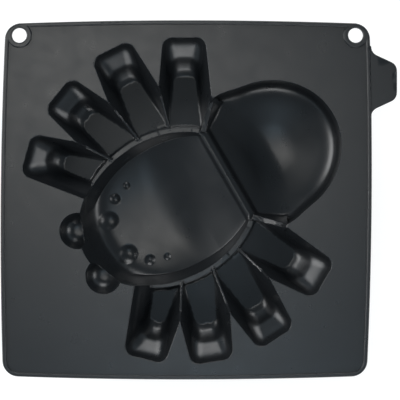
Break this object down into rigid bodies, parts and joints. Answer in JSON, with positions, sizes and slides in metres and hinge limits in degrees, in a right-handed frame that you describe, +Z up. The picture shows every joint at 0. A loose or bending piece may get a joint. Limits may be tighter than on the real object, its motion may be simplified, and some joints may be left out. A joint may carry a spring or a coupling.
{
  "type": "spider cake mould",
  "caption": "Square silicone baking mould with a hollow spider cavity: body bowls, legs, fangs and eyes, a raised rim, corner hanging holes and a side pull tab.",
  "frame": {"origin": "centre of the bounding box on the plane that the mould stands on", "axes": "+Z up out of the open cavity, +X towards the pull tab, +Y towards the edge with the hanging holes"},
  "size_m": [0.2671, 0.242, 0.0441],
  "materials": {
    "silicone": "satin"
  },
  "bodies": {
    "root": {"flange_sheet": "silicone", "rim_bead": "silicone", "hanging_eyelet_left": "silicone", "hanging_eyelet_right": "silicone", "pull_tab": "silicone", "thorax_pocket": "silicone", "abdomen_pocket": "silicone", "fang_pocket_left": "silicone", "fang_pocket_right": "silicone", "leg_pocket_left_rear": "silicone", "leg_pocket_left_mid_rear": "silicone", "leg_pocket_left_mid_front": "silicone", "leg_pocket_left_front": "silicone", "leg_pocket_right_rear": "silicone", "leg_pocket_right_mid_rear": "silicone", "leg_pocket_right_mid_front": "silicone", "leg_pocket_right_front": "silicone", "eye_cup_left_large": "silicone", "eye_cup_left_middle": "silicone", "eye_cup_left_small": "silicone", "eye_cup_right_large": "silicone", "eye_cup_right_middle": "silicone", "eye_cup_right_small": "silicone"}
  },
  "joints": []
}
